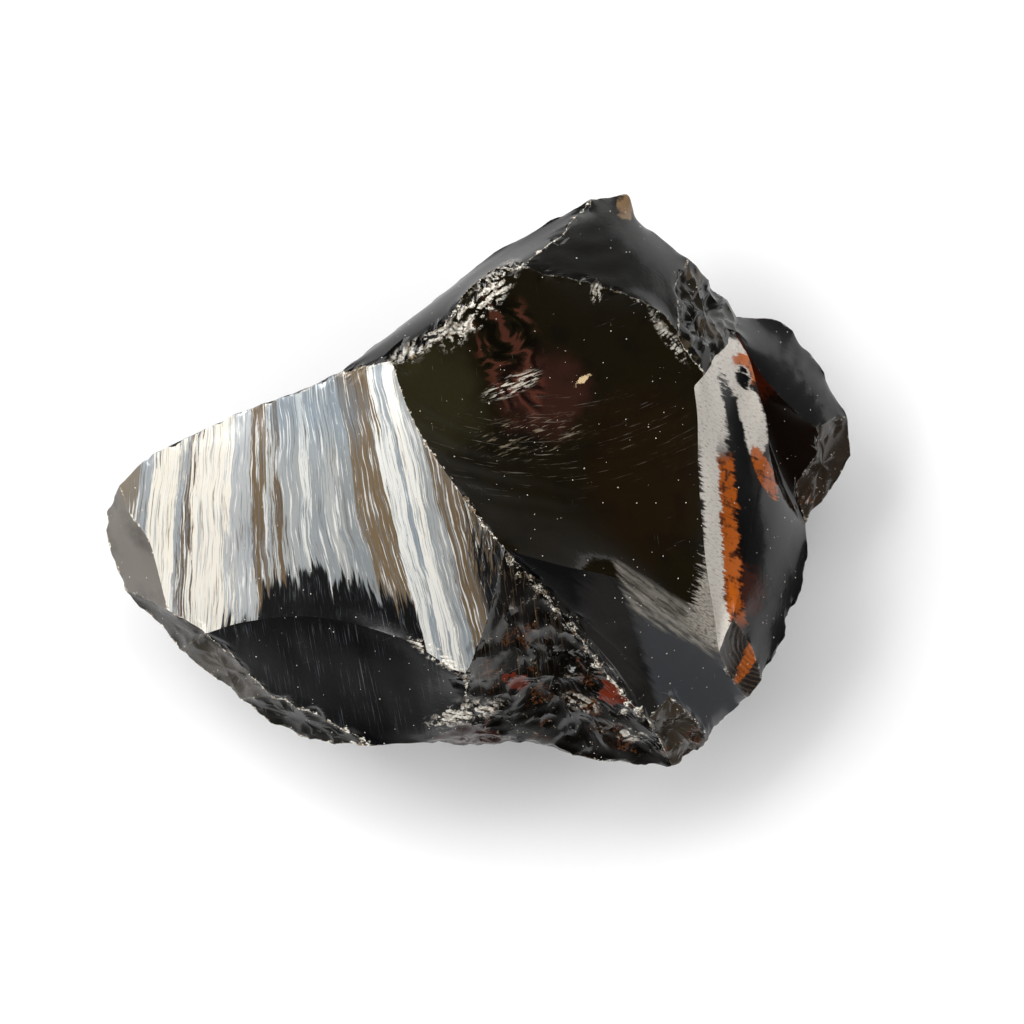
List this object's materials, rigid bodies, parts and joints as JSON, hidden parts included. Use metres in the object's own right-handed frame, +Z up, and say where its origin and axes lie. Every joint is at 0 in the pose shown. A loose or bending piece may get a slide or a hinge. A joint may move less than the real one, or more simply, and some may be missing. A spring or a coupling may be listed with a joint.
{
  "type": "obsidian chunk",
  "caption": "Loose chunk of black volcanic glass with sharp creases between shell-shaped breaks, lying on its flattest side.",
  "frame": {"origin": "middle of the chunk's outline, on the surface it lies on", "axes": "+X along its widest span, from the ribbed side to the small lobe; +Y across it; +Z up from the flat break it lies on"},
  "size_m": [0.0628, 0.048, 0.0254],
  "materials": {
    "obsidian": "fresh conchoidal breaks of black volcanic glass, with a pale ribbed sheen, grey and mahogany bands and crushed edges"
  },
  "bodies": {
    "root": {"obsidian_chunk": "obsidian"}
  },
  "joints": []
}
